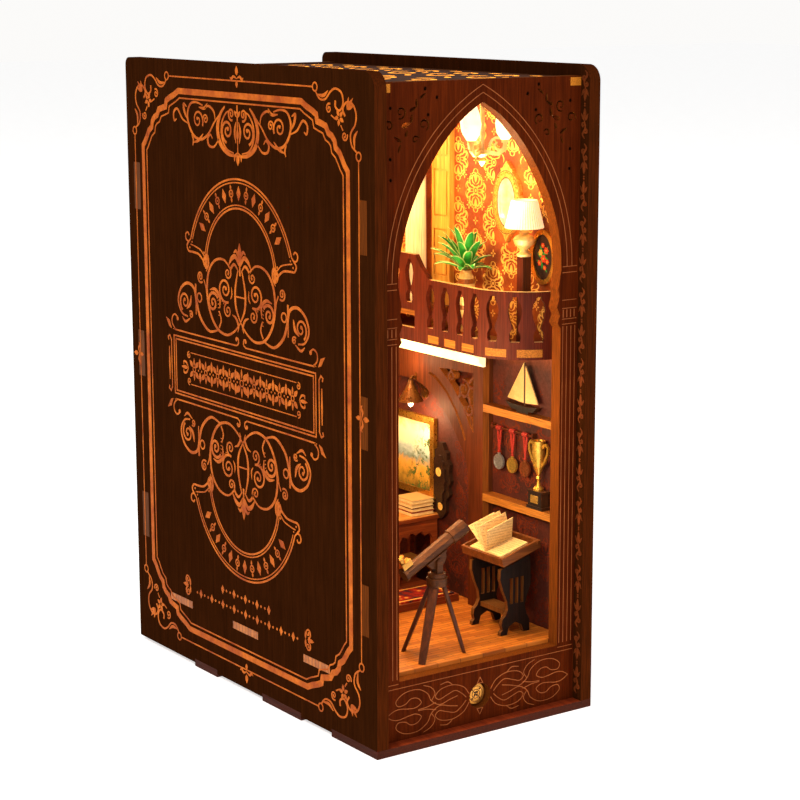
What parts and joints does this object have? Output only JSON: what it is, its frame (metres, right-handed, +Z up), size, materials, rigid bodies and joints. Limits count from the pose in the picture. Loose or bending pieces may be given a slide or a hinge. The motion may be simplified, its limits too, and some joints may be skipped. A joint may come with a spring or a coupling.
{
  "type": "book nook",
  "caption": "Book nook: a lit miniature two-storey study behind a pointed arch, in a wooden case with book-like covers, with a push switch and a hinged battery hatch.",
  "frame": {"origin": "middle of the underside of the base board", "axes": "+Z up; -Y is the open arched front; the two covers face -X and +X"},
  "size_m": [0.1, 0.178, 0.245],
  "materials": {
    "cover_board": "printed, satin",
    "red_board": "stained, satin",
    "frame_board": "stained, satin",
    "dark_board": "stained, satin",
    "roof_board": "stained, satin",
    "parquet": "printed, satin",
    "damask_paper": "printed, matt",
    "shelf_board": "stained, satin",
    "white_card": "printed, matt",
    "cream_card": "printed, matt",
    "gilt_card": "printed gold, satin",
    "printed_paper": "printed, matt",
    "leaf_paper": "printed, matt",
    "lamp_paper": "translucent, lit",
    "sail_paper": "matt",
    "silver_card": "metallic",
    "gold_card": "metallic",
    "bronze_card": "metallic",
    "black_card": "painted, satin",
    "brass_part": "satin",
    "page_paper": "matt",
    "walnut_part": "stained, satin",
    "electric_plastic": "moulded",
    "cell_metal": "printed sleeve"
  },
  "bodies": {
    "case": {"left_cover": "cover_board", "right_cover": "cover_board", "base_board": "red_board", "front_frame": "frame_board", "back_board": "dark_board", "roof_board": "roof_board", "lower_floor": "parquet", "left_wall_lining": "damask_paper", "right_wall_lining": "damask_paper", "arcade_board": "red_board", "bookcase_side": "dark_board", "upper_shelf": "shelf_board", "lower_shelf": "shelf_board", "cornice": "white_card", "gallery_rail": "red_board", "gallery_floor": "shelf_board", "landing": "shelf_board", "landing_rail": "red_board", "pilaster": "cream_card", "column": "cream_card", "mirror": "gilt_card", "flower_picture_frame": "gilt_card", "flower_picture": "printed_paper", "leaf_vase": "gilt_card", "leaf_spray": "leaf_paper", "lamp_post": "dark_board", "lamp_base": "gilt_card", "lamp_shade": "lamp_paper", "chandelier_frame": "gilt_card", "chandelier_shades": "lamp_paper", "boat_hull": "dark_board", "boat_sails": "sail_paper", "medal_rail": "dark_board", "cup_plinth": "black_card", "trophy_cup": "gold_card", "dais": "red_board", "landscape_frame": "gilt_card", "landscape_picture": "printed_paper", "wall_lamp": "brass_part", "wall_lamp_bulb": "lamp_paper", "carved_clock": "dark_board", "side_table": "red_board", "book_stack": "page_paper", "tripod_head": "walnut_part", "tripod_legs": "walnut_part", "desk_tray": "walnut_part", "desk_stand": "black_card", "open_book": "page_paper", "switch": "electric_plastic", "battery_tray": "electric_plastic", "battery_cells": "cell_metal"},
    "button": {"touch_button": "brass_part"},
    "hatch": {"battery_door": "dark_board"},
    "silver_medal": {"silver_medal": "silver_card"},
    "gold_medal": {"gold_medal": "gold_card"},
    "bronze_medal": {"bronze_medal": "bronze_card"},
    "pan_fork": {"telescope_fork": "walnut_part"},
    "telescope": {"telescope_tube": "walnut_part", "telescope_eyepiece": "brass_part", "telescope_saddle": "walnut_part"}
  },
  "joints": [
    {"name": "button_press", "type": "slide", "parent": "case", "child": "button", "axis": [0, 1, 0], "range_m": [0, 0.001], "stiffness_N_per_m": 300, "springref_m": -0.0005},
    {"name": "hatch_hinge", "type": "hinge", "parent": "case", "child": "hatch", "pos_m": [0, 0.0815, 0.0066], "axis": [-1, 0, 0], "range_deg": [0, 95]},
    {"name": "silver_swing", "type": "hinge", "parent": "case", "child": "silver_medal", "pos_m": [0.042, -0.0409, 0.1026], "axis": [0, 1, 0], "range_deg": [-4, 40]},
    {"name": "gold_swing", "type": "hinge", "parent": "case", "child": "gold_medal", "pos_m": [0.042, -0.0493, 0.1026], "axis": [0, 1, 0], "range_deg": [-4, 40]},
    {"name": "bronze_swing", "type": "hinge", "parent": "case", "child": "bronze_medal", "pos_m": [0.042, -0.0573, 0.1026], "axis": [0, 1, 0], "range_deg": [-4, 40]},
    {"name": "telescope_pan", "type": "hinge", "parent": "case", "child": "pan_fork", "pos_m": [-0.009, -0.069, 0.054], "axis": [0, 0, 1], "range_deg": [-60, 60]},
    {"name": "telescope_tilt", "type": "hinge", "parent": "pan_fork", "child": "telescope", "pos_m": [-0.009, -0.069, 0.063], "axis": [0, -1, 0], "range_deg": [-25, 15]}
  ]
}
